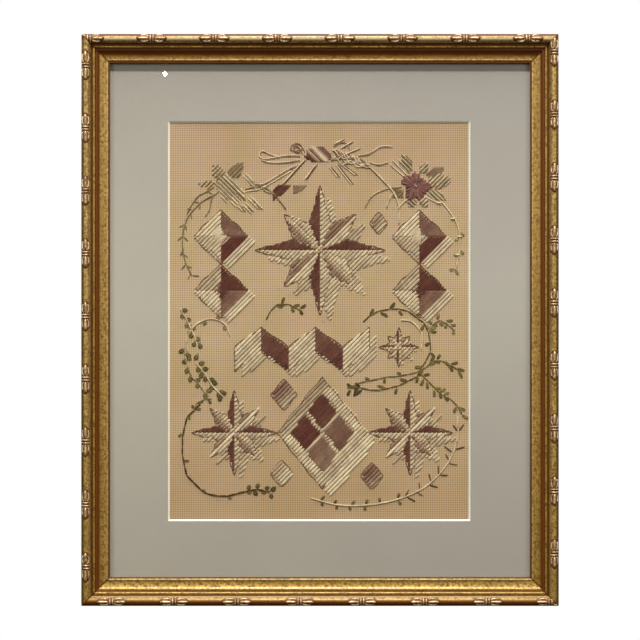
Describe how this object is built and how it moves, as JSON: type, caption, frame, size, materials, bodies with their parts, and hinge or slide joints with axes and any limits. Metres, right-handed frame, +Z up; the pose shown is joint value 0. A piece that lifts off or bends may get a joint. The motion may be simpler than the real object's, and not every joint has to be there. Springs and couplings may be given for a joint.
{
  "type": "punched paper embroidery in a gilt picture frame",
  "caption": "Wall-hung picture: a mitred gilt moulding with pressed husk ornament holds glass, a bevelled grey mat and a sheet of punched paper worked in shaded wool.",
  "frame": {"origin": "middle of the top rail's rear face, which lies against the wall", "axes": "+X along the top rail to the viewer's right, +Y back into the wall, +Z up; the picture faces -Y"},
  "size_m": [0.42, 0.025, 0.503],
  "materials": {
    "gilt_wood": "satin gold leaf over gesso and red-brown bole, worn in the hollows",
    "picture_glass": "clear, polished",
    "mat_card": "matt warm grey face with a white core at the bevel",
    "punched_card": "matt, aged tan, punched all over with fine holes",
    "wool_yarn": "shaded wool in maroon, mauve-brown, taupe, cream and olive",
    "backing_card": "matt brown board"
  },
  "bodies": {
    "root": {"rail_top": "gilt_wood", "rail_right": "gilt_wood", "rail_bottom": "gilt_wood", "rail_left": "gilt_wood", "glass": "picture_glass", "mat_board": "mat_card", "punched_paper": "punched_card", "backing_board": "backing_card"}
  },
  "joints": []
}
